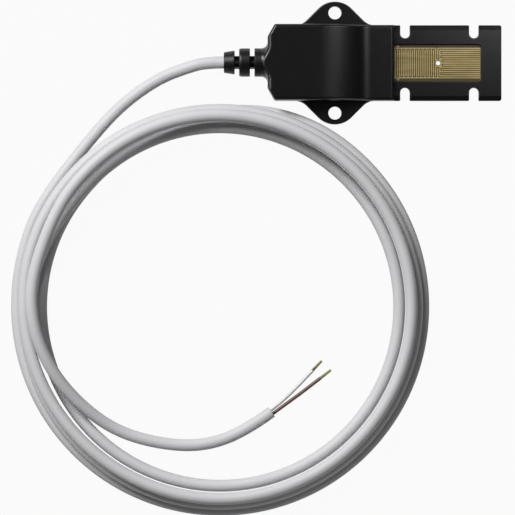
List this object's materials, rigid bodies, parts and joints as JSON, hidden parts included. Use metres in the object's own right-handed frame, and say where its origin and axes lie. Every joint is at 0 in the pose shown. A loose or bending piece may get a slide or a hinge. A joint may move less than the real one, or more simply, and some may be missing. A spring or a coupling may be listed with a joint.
{
  "type": "condensation sensor",
  "caption": "Black moulded condensation sensor with a gold comb in a window, screw ears, cable tie notches and a coiled light grey lead with bare ends.",
  "frame": {"origin": "centre of the sensor head's box, on the flat back that rests on the surface", "axes": "+X from the cord boot to the comb window, +Y across the ears, +Z out of the back face through the cover"},
  "size_m": [0.1958, 0.2053, 0.0205],
  "materials": {
    "housing": "moulded black, fine satin grain",
    "cover": "moulded black, fine satin grain",
    "seal": "soft black rubber",
    "board": "glass fibre laminate",
    "boot": "moulded flexible black, smooth",
    "comb": "gold plated, fine lapped",
    "rivets": "tinned",
    "clamp": "moulded black",
    "screws": "zinc plated",
    "jacket": "light grey cable jacket, satin",
    "white_core": "white insulation",
    "brown_core": "brown insulation",
    "chips": "moulded package",
    "capacitor_can": "drawn can",
    "ceramic": "ceramic",
    "solder": "bright solder",
    "strands": "stranded copper, bright"
  },
  "bodies": {
    "root": {"base_housing": "housing", "top_cover": "cover", "cover_seal": "seal", "sensor_board": "board", "strain_relief": "boot", "electrode_comb_left": "comb", "electrode_comb_right": "comb", "comb_rivets": "rivets", "cable_clamp": "clamp", "clamp_screws": "screws", "cord_entry": "jacket", "inner_core_white": "white_core", "inner_core_brown": "brown_core", "comparator_chip": "chips", "output_transistor": "chips", "voltage_regulator": "chips", "protection_diode": "chips", "filter_capacitor": "capacitor_can", "chip_resistors": "chips", "chip_capacitors": "ceramic", "solder_joints": "solder", "cord_lead": "jacket", "cord_coil": "jacket", "cord_tail": "jacket", "core_white_end": "white_core", "core_brown_end": "brown_core", "conductor_white_end": "strands", "conductor_brown_end": "strands"}
  },
  "joints": []
}
